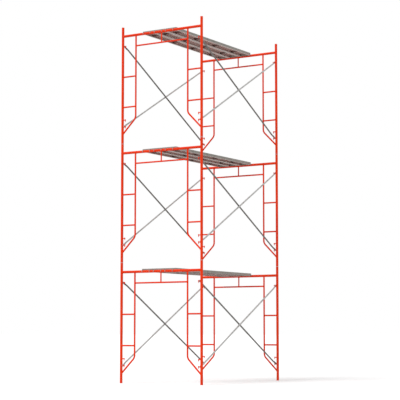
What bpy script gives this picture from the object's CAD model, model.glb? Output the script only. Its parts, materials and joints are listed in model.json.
"""Frame scaffold tower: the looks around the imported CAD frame, in metres.

The CAD frames, latches and coupling pins stay and get materials. Weld beads are added, and the braces and
planks are built anew.
"""
import json
import math

import bpy
import numpy as np
from mathutils import Matrix, Vector


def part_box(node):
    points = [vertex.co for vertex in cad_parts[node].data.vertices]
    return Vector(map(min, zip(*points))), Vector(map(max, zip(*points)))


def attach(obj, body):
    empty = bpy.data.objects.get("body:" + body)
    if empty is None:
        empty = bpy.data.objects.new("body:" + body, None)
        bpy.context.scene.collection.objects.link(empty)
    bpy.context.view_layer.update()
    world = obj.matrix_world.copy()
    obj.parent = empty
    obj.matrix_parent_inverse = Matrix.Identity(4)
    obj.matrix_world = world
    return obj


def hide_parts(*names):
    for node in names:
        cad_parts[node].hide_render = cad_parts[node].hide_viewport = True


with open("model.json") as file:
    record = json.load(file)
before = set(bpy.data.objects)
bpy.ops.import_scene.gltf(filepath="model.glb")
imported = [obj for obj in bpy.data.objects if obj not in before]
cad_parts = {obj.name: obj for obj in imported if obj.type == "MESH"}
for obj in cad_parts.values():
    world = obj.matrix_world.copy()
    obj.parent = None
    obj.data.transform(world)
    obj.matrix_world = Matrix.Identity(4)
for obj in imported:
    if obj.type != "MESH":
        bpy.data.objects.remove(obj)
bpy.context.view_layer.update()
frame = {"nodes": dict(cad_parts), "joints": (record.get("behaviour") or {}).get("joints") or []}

TIERS = ("lower", "middle", "upper")
FRAMES = ("near", "far")
SIDES = ("left", "right")
STUDS = ("bottom", "spare", "top")
PLANKS = ("left", "centre", "right")

# Camera: on the tower's diagonal, low and far, looking slightly up
CAMERA_DISTANCE = 22.47
CAMERA_HEIGHT = 0.8
CAMERA_YAW = math.radians(32.08)
CAMERA_PITCH = math.radians(5.63)
CAMERA_LENS = 121.5
CAMERA_SENSOR = 36
CAMERA_REACH = 2000       # clips nothing of the floor

# Floor and light
FLOOR_RADIUS = 700.0
FLOOR_THICKNESS = 0.2
FLOOR_SIDES = 128
SKY_SHED = 0.62           # the sky's strength on the things that it lights
SKY_SEEN = 1.0            # the sky's strength as the camera sees it
SUNS = (                  # name, strength, width in degrees, and turn in degrees
    ("key", 1.7, 35, (38, 0, -25)),
    ("fill", 0.2, 40, (60, 0, 75)),
)

FLOOR_SEEN = ((0.90, 0.90, 0.90, 1), (0.93, 0.93, 0.93, 1))   # its two tones as the camera sees them
FLOOR_SHED = (0.60, 0.59, 0.58, 1)                            # its colour for the light it throws back
FLOOR_GLOW = 0.14
FLOOR_ROUGHNESS = 0.8

# Materials
CHIP_THRESHOLD = 0.80     # unworn paint is chipped where its noise is above this
CHIP_ROUGHNESS = 0.7
BARE_STEEL = (0.10, 0.085, 0.075, 1)
RUST = (0.19, 0.055, 0.02, 1)
ORANGE_PEEL = 0.25        # its height, as a share of a chip's depth
PAINT_SPECULAR = 0.13
ZINC_METALLIC = 0.4
CRYSTAL_CONTRAST = 0.45
STREAK_CONTRAST = 0.55

# What tells the CAD's solids apart, by the sizes of their boxes
SAME_POINT_DECIMALS = 5
POST_LEAST_HEIGHT = 1.5
POST_LEAST_WIDTH = 0.035
UPRIGHT_LEAST_HEIGHT = 1.0
FOOT_LEAST_SIZE = 0.15
TUBE_LEAST_SLENDERNESS = 4
STUD_LENGTHS = (0.03, 0.08)
STUD_MOST_HEIGHT = 0.03
CROSS_MEMBER_DEPTHS = (0.02, 0.06)
END_PLATE_MOST_DEPTH = 0.01
END_PLATE_LEAST_WIDTH = 0.1
HOOK_MOST_WIDTH = 0.03

# Smooth shading stops where faces meet at more than this
SHARP_ANGLE = math.radians(35)

# Weld beads
BEAD_RADIUS = 0.0024
BEAD_SIDES = 6
BEAD_RIPPLE = 0.0033      # length of one ripple along a bead
BEAD_SWELL = (1.0, 1.14, 0.86)   # the bead's thickness, ring by ring along one ripple
BEAD_LEAST_RIPPLES = 8
FOOT_BEAD_BACK = 0.125    # start of a foot's bead, back along the foot, as a share of POST_X

# Braces
EYE_CLEARANCE = 0.0005
EYE_SIDES = 48
BRACE_GAP = 0.0005        # tube to the plane between the two braces
TAB_THICKNESS = 0.005
TAB_LIFT = 0.001          # flat end to the plane between the two braces
TAB_LENGTH = 0.036
TAB_HALF_WIDTH = 0.016
TAB_END_STEPS = 16
TAB_OVERLAP = 0.002       # how far the tube's crushed end runs over the tab
TAB_BEVEL = 0.0005
TAB_SQUARENESS = 7        # a section's power where the tube is crushed flat
ROUND = 2                 # a section's power where the tube is round
ROUNDING_PACE = 1.6       # how many times faster the crushed tube turns round than it swells
TAPER_LENGTH = 0.075
TAPER_RINGS = 12
SECTION_POINTS = 40
TUBE_RINGS = 40
RIVET_RADIUS = 0.0045
RIVET_HEAD = 0.009
RIVET_DOME = 0.003
RIVET_DOME_RINGS = 6
RIVET_SIDES = 32

# Planks
SHEET = 0.002
LIP = 0.024
HEM = 0.006               # height of the lip's turned-up edge
FOLD_RADIUS = 0.004
FOLD_STEPS = 4
GROOVE_DEPTH = 0.0014
GROOVE_HEIGHTS = (0.42, 0.46, 0.54, 0.58)   # shares of the plank's height, from its lower edge up
RIB_HEIGHT = 0.0015
RIB_WIDTH = 0.012
RIB_INSET = 1.5           # rib's inner edge to the fold, in ribs' widths
RIB_FLANK = 0.25          # share of the rib's width that each slope takes
GRIP_ROWS = 3
GRIP_COLUMNS = 42
GRIP_CUTS = 3             # steps of the top's grid along each side of a button's cell
GRIP_RADIUS = 0.0115
GRIP_HEIGHT = 0.002
# A button from rim to middle, in shares of its radius and height
GRIP_PROFILE = ((1.0, 0.0), (0.93, 0.35), (0.8, 0.85), (0.66, 1.0), (0.3, 0.82))
HOOK_BEVEL = 0.0008
HOOK_CLEARANCE = 0.0003
THROAT_STEPS = 24
TIP_STEPS = 8
HOOK_BACK_STEPS = 16
END_PLATE_BEVEL = 0.0004


def box_size(box):
    return box[1] - box[0]


def box_middle(box):
    return (box[0] + box[1]) / 2


def solid_boxes(node):
    """The lowest and highest corner of each solid in a CAD node, joined up by the mesh's edges."""
    mesh = frame["nodes"][node].data
    points = np.array([v.co for v in mesh.vertices])
    _, same = np.unique(np.round(points, SAME_POINT_DECIMALS), axis=0, return_inverse=True)
    same = same.ravel()
    parent = list(range(same.max() + 1))

    def root(i):
        while parent[i] != i:
            parent[i] = parent[parent[i]]
            i = parent[i]
        return i

    for edge in mesh.edges:
        a, b = (root(same[v]) for v in edge.vertices)
        parent[a] = b
    owner = np.array([root(i) for i in same])
    boxes = []
    for i in np.unique(owner):
        own = points[owner == i]
        boxes.append((Vector(own.min(axis=0)), Vector(own.max(axis=0))))
    return boxes


# ---- Node materials ----

def add_node(tree, kind, inputs=None, **settings):
    """A shader node with its settings; an input is a value, or another node's output socket."""
    node = tree.nodes.new(kind)
    for name, value in settings.items():
        setattr(node, name, value)
    for name, value in (inputs or {}).items():
        if isinstance(value, bpy.types.NodeSocket):
            tree.links.new(value, node.inputs[name])
        else:
            node.inputs[name].default_value = value
    return node


def new_material(name):
    material = bpy.data.materials.new(name)
    material.use_nodes = True
    tree = material.node_tree
    return material, tree, tree.nodes["Principled BSDF"]


def math_node(tree, operation, a, b):
    return add_node(tree, "ShaderNodeMath", {0: a, 1: b}, operation=operation).outputs[0]


def ramp(tree, value, low, high, to_low=0.0, to_high=1.0):
    """The value, taken from low..high smoothly to to_low..to_high."""
    inputs = {"Value": value, "From Min": low, "From Max": high, "To Min": to_low, "To Max": to_high}
    node = add_node(tree, "ShaderNodeMapRange", inputs, interpolation_type="SMOOTHSTEP")
    return node.outputs["Result"]


def noise(tree, where, scale, detail=3.0, rough=0.5):
    inputs = {"Vector": where, "Scale": scale, "Detail": detail, "Roughness": rough}
    return add_node(tree, "ShaderNodeTexNoise", inputs).outputs["Fac"]


def crystals(tree, where, scale):
    """A value that is the same all over each crystal of a zinc coat."""
    cells = add_node(tree, "ShaderNodeTexVoronoi", {"Vector": where, "Scale": scale}, feature="F1")
    return add_node(tree, "ShaderNodeSeparateColor", {"Color": cells.outputs["Color"]}).outputs["Red"]


def mix_colour(tree, share, a, b):
    """Colour a where share is 0, and b where it is 1. A mix node's colours are its sockets 6, 7 and 2."""
    return add_node(tree, "ShaderNodeMix", {0: share, 6: a, 7: b}, data_type="RGBA").outputs[2]


def object_place(tree):
    return add_node(tree, "ShaderNodeTexCoord").outputs["Object"]


def stretched(tree, where, scale):
    return add_node(tree, "ShaderNodeMapping", {"Vector": where, "Scale": scale}).outputs["Vector"]


def facing_up(tree):
    """1 where the surface faces straight up, and -1 where it faces straight down."""
    normal = add_node(tree, "ShaderNodeNewGeometry").outputs["Normal"]
    return add_node(tree, "ShaderNodeSeparateXYZ", {"Vector": normal}).outputs["Z"]


def seen_directly(tree):
    """1 where the camera sees it directly, and 0 for the light it sheds on other things."""
    return add_node(tree, "ShaderNodeLightPath").outputs["Is Camera Ray"]


def bump(tree, height, distance):
    return add_node(tree, "ShaderNodeBump", {"Height": height, "Distance": distance}).outputs["Normal"]


def paint_material(name, colour, dark_colour, chipping):
    """Enamel with orange peel, faint fading, and chips to rusty steel near posts' joints and on top."""
    material, tree, shader = new_material(name)
    where = object_place(tree)
    height = add_node(tree, "ShaderNodeSeparateXYZ", {"Vector": where}).outputs["Z"]
    fade = ramp(tree, noise(tree, where, scale=3.1), low=0.35, high=0.65)
    base = mix_colour(tree, fade, colour, dark_colour)

    along = math_node(tree, "MODULO", height, PITCH)
    to_end = math_node(tree, "MINIMUM", along, math_node(tree, "SUBTRACT", PITCH, along))
    end_wear = ramp(tree, to_end, low=0.0, high=0.12, to_low=0.17, to_high=0.0)
    top_wear = ramp(tree, facing_up(tree), low=0.6, high=1.0, to_low=0.0, to_high=0.12)
    wear = math_node(tree, "ADD", end_wear, top_wear)
    flakes = noise(tree, where, scale=95.0, detail=5.0, rough=0.62)
    threshold = math_node(tree, "SUBTRACT", CHIP_THRESHOLD - chipping, wear)
    chip = ramp(tree, math_node(tree, "SUBTRACT", flakes, threshold), low=0.0, high=0.02)

    rust = ramp(tree, noise(tree, where, scale=210.0), low=0.4, high=0.6)
    steel = mix_colour(tree, rust, BARE_STEEL, RUST)
    tree.links.new(mix_colour(tree, chip, base, steel), shader.inputs["Base Color"])
    gloss = ramp(tree, noise(tree, where, scale=24.0), low=0.3, high=0.7, to_low=0.28, to_high=0.40)
    rough = add_node(tree, "ShaderNodeMix", {0: chip, 2: gloss, 3: CHIP_ROUGHNESS}).outputs[0]
    tree.links.new(rough, shader.inputs["Roughness"])
    peel = noise(tree, where, scale=420.0, detail=2.0)
    relief = math_node(tree, "SUBTRACT", math_node(tree, "MULTIPLY", peel, ORANGE_PEEL), chip)
    tree.links.new(bump(tree, relief, distance=0.00025), shader.inputs["Normal"])
    shader.inputs["Specular IOR Level"].default_value = PAINT_SPECULAR
    return material


def zinc_material(name, bright, dark, grime):
    """Galvanised steel: crystals of slightly different greys, with dull grime over them."""
    material, tree, shader = new_material(name)
    where = object_place(tree)
    base = mix_colour(tree, crystals(tree, where, scale=120.0), dark, bright)
    smears = noise(tree, stretched(tree, where, (1, 1, 0.3)), scale=9.0, detail=5.0, rough=0.6)
    dirt = ramp(tree, smears, low=0.42, high=0.72)
    tree.links.new(mix_colour(tree, dirt, base, grime), shader.inputs["Base Color"])
    rough = ramp(tree, noise(tree, where, scale=55.0), low=0.3, high=0.7, to_low=0.34, to_high=0.52)
    tree.links.new(rough, shader.inputs["Roughness"])
    tree.links.new(bump(tree, noise(tree, where, scale=160.0), distance=0.0002), shader.inputs["Normal"])
    shader.inputs["Metallic"].default_value = ZINC_METALLIC
    return material


def plank_material(name, bright, dark, grime, under, metallic):
    """Weathered sheet steel: streaks along the plank, fine scratches, and its own colour underneath."""
    material, tree, shader = new_material(name)
    where = object_place(tree)
    grain = noise(tree, stretched(tree, where, (30, 1.6, 30)), scale=1.0, detail=5.0, rough=0.6)
    streak = ramp(tree, grain, low=0.35, high=0.68)
    blotches = noise(tree, where, scale=11.0, detail=5.0, rough=0.65)
    cloud = ramp(tree, blotches, low=0.50, high=0.78, to_low=0.0, to_high=0.75)
    shade = crystals(tree, where, scale=70.0)
    sheet = mix_colour(tree, math_node(tree, "MULTIPLY", shade, CRYSTAL_CONTRAST), bright, dark)
    streaked = mix_colour(tree, math_node(tree, "MULTIPLY", streak, STREAK_CONTRAST), sheet, dark)
    grimy = mix_colour(tree, cloud, streaked, grime)
    downward = ramp(tree, facing_up(tree), low=-0.95, high=-0.6, to_low=0.85, to_high=0.0)
    tree.links.new(mix_colour(tree, downward, grimy, under), shader.inputs["Base Color"])
    rough = ramp(tree, cloud, low=0.0, high=1.0, to_low=0.42, to_high=0.72)
    tree.links.new(rough, shader.inputs["Roughness"])
    scratches = noise(tree, stretched(tree, where, (700, 25, 700)), scale=1.0, detail=2.0)
    tree.links.new(bump(tree, scratches, distance=0.00012), shader.inputs["Normal"])
    shader.inputs["Metallic"].default_value = metallic
    return material


# ---- Mesh helpers ----

def linked(name, data):
    """A new object in the scene."""
    thing = bpy.data.objects.new(name, data)
    bpy.context.scene.collection.objects.link(thing)
    return thing


def new_mesh(name, points, faces):
    mesh = bpy.data.meshes.new(name)
    mesh.from_pydata([tuple(p) for p in points], [], faces)
    mesh.validate()
    return mesh


def smoothed(mesh):
    mesh.shade_smooth()
    mesh.set_sharp_from_angle(angle=SHARP_ANGLE)
    return mesh


def joined(name, meshes, placements):
    """One smoothed mesh from several, each put where its matrix says."""
    points, faces, slots = [], [], []
    for mesh, placement in zip(meshes, placements):
        first = len(points)
        flipped = placement.determinant() < 0
        points += [placement @ v.co for v in mesh.vertices]
        for polygon in mesh.polygons:
            corners = [first + v for v in polygon.vertices]
            faces.append(corners[::-1] if flipped else corners)
            slots.append(polygon.material_index)
    result = new_mesh(name, points, faces)
    result.polygons.foreach_set("material_index", slots)
    return smoothed(result)


def applied(piece):
    """The mesh of an object with its modifiers, and the object removed."""
    bpy.context.view_layer.update()
    graph = bpy.context.evaluated_depsgraph_get()
    mesh = bpy.data.meshes.new_from_object(piece.evaluated_get(graph))
    bpy.data.objects.remove(piece)
    return mesh


def thickened(name, points, faces):
    """A mesh made SHEET deep, away from its outer side. The inner side gets the second material."""
    sheet = linked(name, new_mesh(name, points, faces))
    shell = sheet.modifiers.new("shell", "SOLIDIFY")
    shell.thickness = SHEET
    shell.offset = -1
    shell.use_even_offset = True
    shell.material_offset = 1
    for _ in range(2):
        sheet.data.materials.append(None)
    return applied(sheet)


def turns(count):
    """The angles of a circle's points."""
    return [2 * math.pi * i / count for i in range(count)]


def arc(centre, radius, start, end, steps):
    """Points on an arc, with its angles in degrees."""
    angles = [math.radians(start + (end - start) * i / steps) for i in range(steps + 1)]
    return [(centre[0] + radius * math.cos(a), centre[1] + radius * math.sin(a)) for a in angles]


def plate(name, outlines, thickness, bevel):
    """A flat plate in XY with rounded edges, cut from closed outlines: the outer one and any holes."""
    curve = bpy.data.curves.new(name, "CURVE")
    curve.dimensions = "2D"
    curve.fill_mode = "BOTH"
    for outline in outlines:
        spline = curve.splines.new("POLY")
        spline.points.add(len(outline) - 1)
        for point, (x, y) in zip(spline.points, outline):
            point.co = (x, y, 0, 1)
        spline.use_cyclic_u = True
    curve.extrude = thickness / 2 - bevel
    curve.bevel_depth = bevel
    curve.bevel_resolution = 1
    curve.offset = -bevel
    return applied(linked(name, curve))


def lofted(name, rings, closed=False):
    """A mesh through rings of points that correspond; its ends are capped, or joined if it is closed."""
    sides = len(rings[0])
    points = [p for ring in rings for p in ring]
    faces = []
    for i in range(len(rings) if closed else len(rings) - 1):
        a, b = i * sides, (i + 1) % len(rings) * sides
        for j in range(sides):
            k = (j + 1) % sides
            faces.append((a + j, a + k, b + k, b + j))
    if not closed:
        faces.append(tuple(reversed(range(sides))))
        faces.append(tuple(range(len(points) - sides, len(points))))
    return new_mesh(name, points, faces)


def lathe(name, profile, sides):
    """A solid of revolution round Z from its (radius, height) profile, closed at both ends."""
    rings = [[Vector((r * math.cos(t), r * math.sin(t), z)) for t in turns(sides)] for r, z in profile]
    return lofted(name, rings)


def add_piece(name, mesh, materials, body, slot, place):
    """A named piece on a body, with its materials."""
    piece = linked(name, mesh)
    for index, material in enumerate(materials):
        if index == len(mesh.materials):
            mesh.materials.append(None)
        mesh.materials[index] = material
    piece.location = place
    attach(piece, body)
    return piece


def paint_node(node, material):
    """Gives a CAD node that stays one material all over."""
    mesh = frame["nodes"][node].data
    mesh.materials.clear()
    mesh.materials.append(material)
    return frame["nodes"][node]


# ---- Sizes from the frame ----

def tier_height(tier):
    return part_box(f"{tier}_near_frame")[0].z


def frame_depth(which):
    return box_middle(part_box(f"lower_{which}_frame")).y


def joint_point(name):
    return next(Vector(j["pos_m"]) for j in frame["joints"] if j["name"] == name)


def is_post(box):
    x, _, z = box_size(box)
    return z > POST_LEAST_HEIGHT and x > POST_LEAST_WIDTH


def is_upright(box):
    return box_size(box).z > UPRIGHT_LEAST_HEIGHT and not is_post(box)


def is_stub(box):
    x, _, z = box_size(box)
    return TUBE_LEAST_SLENDERNESS * x < z <= UPRIGHT_LEAST_HEIGHT


def is_level(box):
    x, _, z = box_size(box)
    return x > TUBE_LEAST_SLENDERNESS * z


def is_foot(box):
    x, _, z = box_size(box)
    return x > FOOT_LEAST_SIZE and z > FOOT_LEAST_SIZE


def is_stud(box):
    x, _, z = box_size(box)
    return STUD_LENGTHS[0] < x < STUD_LENGTHS[1] and z < STUD_MOST_HEIGHT


PITCH = tier_height("middle") - tier_height("lower")
FRAME_BOXES = solid_boxes("lower_near_frame")
POSTS = [b for b in FRAME_BOXES if is_post(b)]
UPRIGHTS = [b for b in FRAME_BOXES if is_upright(b)]
STUBS = [b for b in FRAME_BOXES if is_stub(b)]
LEVEL_TUBES = [b for b in FRAME_BOXES if is_level(b)]
FEET = [b for b in FRAME_BOXES if is_foot(b)]
STUD_BOXES = [b for b in FRAME_BOXES if is_stud(b)]
SUB_HEADER, HEADER = sorted(LEVEL_TUBES, key=lambda b: box_middle(b).z)[-2:]
HEADER_RADIUS = box_size(HEADER).z / 2
POST_RADIUS = box_size(POSTS[0]).x / 2
POST_X = abs(box_middle(POSTS[0]).x)


# ---- Weld beads ----

def bead_path(start, along, radius, main_point, main_axis, main_radius):
    """Points where a tube from start meets a round main tube, each with its direction out of the tube."""
    side = along.orthogonal().normalized()
    up = along.cross(side)
    reach = along - along.dot(main_axis) * main_axis
    ripples = max(BEAD_LEAST_RIPPLES, round(2 * math.pi * radius / BEAD_RIPPLE))
    path = []
    for angle in turns(len(BEAD_SWELL) * ripples):
        outward = side * math.cos(angle) + up * math.sin(angle)
        point = start + outward * radius
        offset = point - main_point
        offset -= offset.dot(main_axis) * main_axis
        a, b, c = reach.length_squared, offset.dot(reach), offset.length_squared - main_radius ** 2
        travel = (-b - math.sqrt(max(b * b - a * c, 0.0))) / a
        path.append((point + along * travel, outward))
    return path


def bead(start, along, radius, main_point, main_axis, main_radius):
    """A rippled fillet weld where a tube from start meets a round main tube."""
    path = bead_path(start, along.normalized(), radius, main_point, main_axis, main_radius)
    rings = []
    for i, (point, outward) in enumerate(path):
        ahead = (path[(i + 1) % len(path)][0] - path[i - 1][0]).normalized()
        out = (outward - outward.dot(ahead) * ahead).normalized()
        across = ahead.cross(out)
        size = BEAD_RADIUS * BEAD_SWELL[i % len(BEAD_SWELL)]
        spokes = [out * math.cos(t) + across * math.sin(t) for t in turns(BEAD_SIDES)]
        rings.append([point + spoke * size for spoke in spokes])
    return lofted("bead", rings, closed=True)


def frame_beads():
    """Every weld of one frame, in the place of the lower near frame."""
    depth = frame_depth("near")
    up, across = Vector((0, 0, 1)), Vector((1, 0, 0))
    beads = []
    for box in LEVEL_TUBES:
        for sign in (-1, 1):
            end = box_middle(box).x + sign * box_size(box).x / 2
            main = min(POSTS + UPRIGHTS, key=lambda b: abs(box_middle(b).x - end))
            radius, main_radius = box_size(box).z / 2, box_size(main).x / 2
            beads.append(bead(box_middle(box), across * sign, radius, box_middle(main), up, main_radius))
    for box in UPRIGHTS + STUBS:
        radius = box_size(box).x / 2
        beads.append(bead(box_middle(box), up, radius, box_middle(HEADER), across, HEADER_RADIUS))
    for box in STUBS:
        radius, main_radius = box_size(box).x / 2, box_size(SUB_HEADER).z / 2
        beads.append(bead(box_middle(box), -up, radius, box_middle(SUB_HEADER), across, main_radius))
    for box in FEET:
        sign = math.copysign(1, box_middle(box).x)
        radius = box_size(box).y / 2
        joint = Vector((sign * POST_X, depth, box[0].z - POST_RADIUS + radius * math.sqrt(2)))
        along = Vector((sign, 0, -1))
        start = joint - along * POST_X * FOOT_BEAD_BACK
        beads.append(bead(start, along, radius, joint, up, POST_RADIUS))
    for box in STUD_BOXES:
        sign = math.copysign(1, box_middle(box).x)
        main = Vector((sign * POST_X, depth, 0))
        beads.append(bead(box_middle(box), across * sign, box_size(box).z / 2, main, up, POST_RADIUS))
    return joined("frame_welds", beads, [Matrix.Identity(4)] * len(beads))


def build_frames(paint, latch_paint, zinc):
    """The CAD's frames, latches and pins get their materials, and the frames get weld beads."""
    welds = frame_beads()
    for tier in TIERS:
        for which in FRAMES:
            paint_node(f"{tier}_{which}_frame", paint)
            place = (0, frame_depth(which) - frame_depth("near"), tier_height(tier))
            name, body = f"{tier}_{which}_frame_welds", f"{tier}_tier"
            add_piece(name, welds, [paint], body, "frame_paint", place)
            for side in SIDES:
                for stud in STUDS:
                    latch = paint_node(f"{tier}_{which}_{side}_{stud}_latch", latch_paint)
    for tier in TIERS[:2]:
        paint_node(f"{tier}_coupling_pins", zinc)


# ---- Braces ----

def section(x, half_width, half_height, middle, power):
    """A ring across a brace at x: round at power 2, and squarer with a higher power."""
    ring = []
    for angle in turns(SECTION_POINTS):
        c, s = math.cos(angle), math.sin(angle)
        y = math.copysign(abs(c) ** (2 / power), c) * half_width
        z = math.copysign(abs(s) ** (2 / power), s) * half_height
        ring.append(Vector((x, y, middle + z)))
    return ring


def taper(tube_radius, flat_middle, tube_middle):
    """What section() takes for each ring, from a brace's crushed flat end to its round tube."""
    sizes = []
    for i in range(TAPER_RINGS + 1):
        t = i / TAPER_RINGS
        share = t * t * (3 - 2 * t)
        sizes.append((
            TAB_LENGTH - TAB_OVERLAP + TAPER_LENGTH * t,
            TAB_HALF_WIDTH + (tube_radius - TAB_HALF_WIDTH) * share,
            TAB_THICKNESS / 2 + (tube_radius - TAB_THICKNESS / 2) * share,
            flat_middle + (tube_middle - flat_middle) * share,
            TAB_SQUARENESS + (ROUND - TAB_SQUARENESS) * min(1, ROUNDING_PACE * share),
        ))
    return sizes


def brace_mesh(length, tube_radius, eye_radius):
    """A brace along X from eye to eye, with crushed flat ends. It stays above the crossing plane, z = 0."""
    flat_middle = TAB_LIFT + TAB_THICKNESS / 2
    tube_middle = BRACE_GAP + tube_radius
    sizes = taper(tube_radius, flat_middle, tube_middle)
    first = [section(*ring) for ring in sizes]
    last = [section(length - x, *others) for x, *others in sizes[::-1]]
    start, end = first[-1][0].x, last[0][0].x
    between = [
        section(start + (end - start) * i / TUBE_RINGS, tube_radius, tube_radius, tube_middle, ROUND)
        for i in range(1, TUBE_RINGS)
    ]
    tube = lofted("brace_tube", first + between + last)
    outline = arc((0, 0), TAB_HALF_WIDTH, 90, 270, TAB_END_STEPS)
    outline += [(TAB_LENGTH, -TAB_HALF_WIDTH), (TAB_LENGTH, TAB_HALF_WIDTH)]
    eye = arc((0, 0), eye_radius, 0, 360 - 360 / EYE_SIDES, EYE_SIDES - 1)
    tab = plate("brace_tab", [outline, eye], TAB_THICKNESS, TAB_BEVEL)
    near = Matrix.Translation((0, 0, flat_middle))
    far = Matrix.Translation((length, 0, flat_middle)) @ Matrix.Rotation(math.pi, 4, "Z")
    return joined("brace", [tube, tab, tab], [Matrix.Identity(4), near, far])


def rivet_mesh(grip):
    """A rivet along Z with a domed head on each side of the two braces."""
    slopes = [math.pi / 2 * i / RIVET_DOME_RINGS for i in range(1, RIVET_DOME_RINGS)]
    top = [(RIVET_RADIUS, grip), (RIVET_HEAD, grip)]
    top += [(RIVET_HEAD * math.cos(a), grip + RIVET_DOME * math.sin(a)) for a in slopes]
    bottom = [(r, -z) for r, z in reversed(top)]
    return smoothed(lathe("rivet", bottom + top, RIVET_SIDES))


def build_braces(light, dark):
    """Two crossed braces and their rivet on each side of each tier."""
    low = joint_point("lower_near_right_bottom_latch_swing")
    high = joint_point("lower_near_right_top_latch_swing")
    bay = 2 * abs(frame_depth("near"))
    rise = high.z - low.z
    length, tilt = math.hypot(bay, rise), math.atan2(rise, bay)
    rivet_box = min(solid_boxes("lower_right_cross_braces"), key=lambda b: box_size(b).y)
    plane_x = abs(box_middle(rivet_box).x)
    grip = box_size(rivet_box).x / 2 - RIVET_DOME
    stud_radius = box_size(STUD_BOXES[0]).z / 2
    brace = brace_mesh(length, (grip - BRACE_GAP) / 2, stud_radius + EYE_CLEARANCE)
    rivet = rivet_mesh(grip)
    to_plane = Matrix(((0, 0, 1, 0), (1, 0, 0, 0), (0, 1, 0, 0), (0, 0, 0, 1)))
    centred = Matrix.Translation((-length / 2, 0, 0))
    rising = to_plane @ Matrix.Rotation(tilt, 4, "Z") @ centred
    falling = to_plane @ Matrix.Rotation(-tilt, 4, "Z") @ Matrix.Scale(-1, 4, (0, 0, 1)) @ centred
    for side in SIDES:
        flip = Matrix.Scale(-1 if side == "left" else 1, 4, (1, 0, 0))
        place = Matrix.Translation((plane_x, 0, 0))
        meshes = [joined(f"{side}_brace", [brace], [flip @ place @ turn]) for turn in (rising, falling)]
        side_rivet = joined(f"{side}_rivet", [rivet], [flip @ place @ to_plane])
        for tier in TIERS:
            middle = (0, 0, (low.z + high.z) / 2 + tier_height(tier))
            body, name = f"{tier}_tier", f"{tier}_{side}"
            bright = add_piece(f"{name}_rising_brace", meshes[0], [light], body, "brace_zinc", middle)
            add_piece(f"{name}_falling_brace", meshes[1], [dark], body, "brace_zinc", middle)
            add_piece(f"{name}_brace_rivet", side_rivet, [light], body, "brace_zinc", middle)
            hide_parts(f"{name}_cross_braces")


# ---- Planks ----

def side_profile(width, height):
    """The fold of a plank's right side, as (x, z) from its turned-up lip edge to the top's flat part."""
    half, r = width / 2, FOLD_RADIUS
    rib = half - r - RIB_WIDTH * RIB_INSET
    low, low_in, high_in, high = (height * share for share in GROOVE_HEIGHTS)
    points = [(half - LIP, HEM), (half - LIP, r / 2)]
    points += arc((half - LIP + r / 2, r / 2), r / 2, 180, 270, FOLD_STEPS)[1:]
    points += arc((half - r, r), r, 270, 360, FOLD_STEPS)
    points += [(half, low), (half - GROOVE_DEPTH, low_in), (half - GROOVE_DEPTH, high_in), (half, high)]
    points += arc((half - r, height - r), r, 0, 90, FOLD_STEPS)
    points += [(rib + RIB_WIDTH, height), (rib + RIB_WIDTH * (1 - RIB_FLANK), height + RIB_HEIGHT)]
    points += [(rib + RIB_WIDTH * RIB_FLANK, height + RIB_HEIGHT), (rib, height)]
    return points


def cell_rim(i, j):
    """The grid points round a button's cell, clockwise from its far right corner."""
    n = GRIP_CUTS
    right = [(i + n, j + n - k) for k in range(n)]
    near = [(i + n - k, j) for k in range(n)]
    left = [(i, j + k) for k in range(n)]
    far = [(i + k, j + n) for k in range(n)]
    return right + near + left + far


def grip_button(add_point, rim, x, y, height):
    """The faces of a pressed button round (x, y), from the rim of its cell inwards."""
    faces, outer = [], rim
    for share, rise in GRIP_PROFILE:
        inner, r, z = [], GRIP_RADIUS * share, height + rise * GRIP_HEIGHT
        for k in range(len(outer)):
            angle = math.pi / 4 - 2 * math.pi * k / len(outer)
            inner.append(add_point(x + r * math.cos(angle), y + r * math.sin(angle), z))
        for k in range(len(outer)):
            n = (k + 1) % len(outer)
            faces.append((outer[n], outer[k], inner[k], inner[n]))
        outer = inner
    return faces + [tuple(outer[::-1])]


def plank_sheet(width, length, height):
    """The folded sheet along Y, with pressed anti-slip buttons in its top."""
    profile = side_profile(width, height)
    flat = profile[-1][0] - RIB_WIDTH / 2
    cuts = GRIP_CUTS
    across, lengthwise = cuts * GRIP_ROWS, cuts * GRIP_COLUMNS
    points, faces, grid = [], [], {}

    def add_point(x, y, z):
        points.append((x, y, z))
        return len(points) - 1

    def station(j):
        return length * (j / lengthwise - 0.5)

    for j in range(lengthwise + 1):
        for i in range(across + 1):
            if i % cuts == 0 or j % cuts == 0:
                grid[i, j] = add_point(flat * (2 * i / across - 1), station(j), height)

    for sign in (1, -1):
        rows = []
        for j in range(lengthwise + 1):
            edge = grid[across if sign > 0 else 0, j]
            rows.append([add_point(sign * x, station(j), z) for x, z in profile] + [edge])
        for a, b in zip(rows, rows[1:]):
            for k in range(len(a) - 1):
                face = (a[k], a[k + 1], b[k + 1], b[k])
                faces.append(face[::-1] if sign > 0 else face)

    for i in range(0, across, cuts):
        for j in range(0, lengthwise, cuts):
            rim = [grid[key] for key in cell_rim(i, j)]
            x = flat * ((2 * i + cuts) / across - 1)
            y = (station(j) + station(j + cuts)) / 2
            faces += grip_button(add_point, rim, x, y, height)
    return smoothed(thickened("plank_sheet", points, faces))


def trough(width, depth, height):
    """A cross member: a folded trough along X, open at the top."""
    r = FOLD_RADIUS
    half = depth / 2
    profile = [(-half, height)] + arc((r - half, r), r, 180, 270, FOLD_STEPS)
    profile += arc((half - r, r), r, 270, 360, FOLD_STEPS) + [(half, height)]
    points = [(x, y, z) for x in (-width / 2, width / 2) for y, z in profile]
    n = len(profile)
    faces = [(k + 1, k, n + k, n + k + 1) for k in range(n - 1)]
    return thickened("trough", points, faces)


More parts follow.
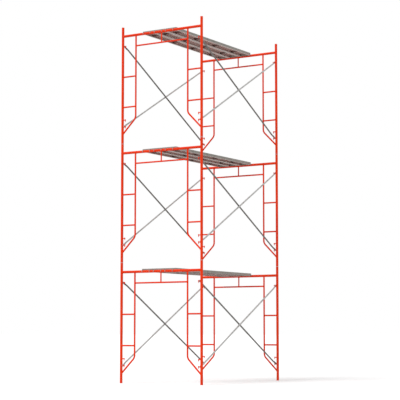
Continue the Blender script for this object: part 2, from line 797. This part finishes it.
def hook_mesh(outer, drop, width, reach):
    """A hook plate in XY round a header whose axis is Z, with a round throat and a blunt tip."""
    throat = HEADER_RADIUS + HOOK_CLEARANCE
    tip = (outer - throat) / 2
    outline = [(-reach, 0), (-throat, 0)]
    outline += arc((0, 0), throat, 180, 0, THROAT_STEPS)[1:]
    outline += arc((throat + tip, tip - drop), tip, 180, 360, TIP_STEPS)
    outline += arc((0, 0), outer, 0, 90, HOOK_BACK_STEPS)
    outline += [(-reach, outer)]
    return plate("hook", [outline], width, HOOK_BEVEL)


def end_plate_mesh(width, thickness, height):
    """The plate across a plank's end, in XY with its lower edge at y = 0 and its corners rounded."""
    r, w = FOLD_RADIUS, width / 2
    outline = arc((w - r, r), r, 270, 360, FOLD_STEPS)
    outline += arc((w - r, height - r), r, 0, 90, FOLD_STEPS)
    outline += arc((r - w, height - r), r, 90, 180, FOLD_STEPS)
    outline += arc((r - w, r), r, 180, 270, FOLD_STEPS)
    return plate("end_plate", [outline], thickness, END_PLATE_BEVEL)


def hook_set(origin, ends, hooks):
    """A plank's end plates and hooks, about its origin."""
    header_y = frame_depth("far")
    end_plate = end_plate_mesh(*box_size(ends[0]))
    outer, drop = hooks[0][1].z - origin.z, origin.z - hooks[0][0].z
    reach = header_y - max(b[1].y for b in ends)
    hook = hook_mesh(outer, drop, box_size(hooks[0]).x, reach)
    upright = Matrix(((1, 0, 0, 0), (0, 0, -1, 0), (0, 1, 0, 0), (0, 0, 0, 1)))
    along = Matrix(((0, 0, 1, 0), (1, 0, 0, 0), (0, 1, 0, 0), (0, 0, 0, 1)))
    places = [Matrix.Translation((0, box_middle(b).y, 0)) @ upright for b in ends]
    for b in hooks:
        sign, x = math.copysign(1, box_middle(b).y), box_middle(b).x - origin.x
        turned = Matrix.Scale(sign, 4, (0, 1, 0)) @ along
        places.append(Matrix.Translation((x, sign * header_y, 0)) @ turned)
    return joined("plank_hooks", [end_plate] * len(ends) + [hook] * len(hooks), places)


def build_planks(outside, inside, members):
    """Three planks on each tier, all like the CAD's lower centre one."""
    low, high = CROSS_MEMBER_DEPTHS
    boxes = solid_boxes("lower_centre_plank")
    sheet = max(boxes, key=lambda b: box_size(b).y)
    wide = [b for b in boxes if box_size(b).x > END_PLATE_LEAST_WIDTH]
    cross = [b for b in wide if low < box_size(b).y < high]
    ends = [b for b in wide if box_size(b).y < END_PLATE_MOST_DEPTH]
    hooks = [b for b in boxes if box_size(b).x < HOOK_MOST_WIDTH]

    origin = Vector((box_middle(sheet).x, 0, sheet[0].z))
    sheet_mesh = plank_sheet(*box_size(sheet))
    places = [Matrix.Translation((0, box_middle(b).y, b[0].z - origin.z)) for b in cross]
    cross_mesh = joined("plank_cross_members", [trough(*box_size(cross[0]))] * len(cross), places)
    hooks_mesh = hook_set(origin, ends, hooks)
    for tier in TIERS:
        for which in PLANKS:
            node = f"{tier}_{which}_plank"
            place = (box_middle(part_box(node)).x, 0, origin.z + tier_height(tier))
            ride = (node, "plank_steel", place)
            top = add_piece(f"{node}_sheet", sheet_mesh, [outside, inside], *ride)
            add_piece(f"{node}_cross_members", cross_mesh, [members, members], *ride)
            add_piece(f"{node}_hooks", hooks_mesh, [outside], *ride)
            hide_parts(node)


# ---- Camera, light and floor ----

def build_camera():
    camera = linked("camera", bpy.data.cameras.new("camera"))
    bearing = math.atan2(POST_X, abs(frame_depth("near")))
    x, y = math.sin(bearing) * CAMERA_DISTANCE, -math.cos(bearing) * CAMERA_DISTANCE
    camera.location = (x, y, CAMERA_HEIGHT)
    camera.rotation_euler = (math.pi / 2 + CAMERA_PITCH, 0, CAMERA_YAW)
    camera.data.lens = CAMERA_LENS
    camera.data.sensor_width = CAMERA_SENSOR
    camera.data.clip_end = CAMERA_REACH
    bpy.context.scene.camera = camera


def build_floor():
    """A pale floor that sheds less light than it shows, so that the decks' undersides stay dark."""
    profile = [(FLOOR_RADIUS, -FLOOR_THICKNESS), (FLOOR_RADIUS, 0.0)]
    floor = linked("floor", lathe("floor", profile, FLOOR_SIDES))
    material, tree, shader = new_material("floor")
    cloud = noise(tree, object_place(tree), scale=0.8)
    seen = mix_colour(tree, cloud, *FLOOR_SEEN)
    colour = mix_colour(tree, seen_directly(tree), FLOOR_SHED, seen)
    tree.links.new(colour, shader.inputs["Base Color"])
    shader.inputs["Roughness"].default_value = FLOOR_ROUGHNESS
    shader.inputs["Specular IOR Level"].default_value = 0.0
    shader.inputs["Emission Color"].default_value = (1, 1, 1, 1)
    shader.inputs["Emission Strength"].default_value = FLOOR_GLOW
    floor.data.materials.append(material)


def build_light():
    world = bpy.data.worlds.new("studio")
    world.use_nodes = True
    bpy.context.scene.world = world
    tree = world.node_tree
    strength = ramp(tree, seen_directly(tree), low=0.0, high=1.0, to_low=SKY_SHED, to_high=SKY_SEEN)
    tree.links.new(strength, tree.nodes["Background"].inputs["Strength"])
    tree.nodes["Background"].inputs["Color"].default_value = (1, 1, 1, 1)
    for name, power, softness, turn in SUNS:
        lamp = linked(name, bpy.data.lights.new(name, "SUN"))
        lamp.data.energy = power
        lamp.data.angle = math.radians(softness)
        lamp.rotation_euler = [math.radians(a) for a in turn]


frame_paint = paint_material(
    "frame_paint", colour=(0.88, 0.046, 0.004, 1), dark_colour=(0.80, 0.037, 0.003, 1), chipping=0.02)
latch_paint = paint_material(
    "latch_paint", colour=(0.72, 0.032, 0.006, 1), dark_colour=(0.55, 0.025, 0.006, 1), chipping=0.15)
light_zinc = zinc_material(
    "light_zinc", bright=(0.72, 0.72, 0.71, 1), dark=(0.46, 0.46, 0.45, 1), grime=(0.42, 0.41, 0.39, 1))
dark_zinc = zinc_material(
    "dark_zinc", bright=(0.28, 0.28, 0.27, 1), dark=(0.15, 0.15, 0.145, 1), grime=(0.14, 0.135, 0.12, 1))
plank_outside = plank_material(
    "plank_outside", bright=(0.38, 0.375, 0.34, 1), dark=(0.27, 0.26, 0.235, 1),
    grime=(0.20, 0.175, 0.15, 1), under=(0.66, 0.55, 0.53, 1), metallic=0.2)
plank_inside = plank_material(
    "plank_inside", bright=(0.60, 0.43, 0.40, 1), dark=(0.46, 0.32, 0.29, 1),
    grime=(0.34, 0.22, 0.19, 1), under=(0.52, 0.36, 0.33, 1), metallic=0.0)
plank_members = plank_material(
    "plank_members", bright=(0.20, 0.11, 0.095, 1), dark=(0.13, 0.07, 0.06, 1),
    grime=(0.10, 0.05, 0.04, 1), under=(0.15, 0.08, 0.07, 1), metallic=0.0)

build_camera()
build_light()
build_floor()
build_frames(frame_paint, latch_paint, light_zinc)
build_braces(light_zinc, dark_zinc)
build_planks(plank_outside, plank_inside, plank_members)
bpy.context.scene.view_settings.view_transform = "Standard"
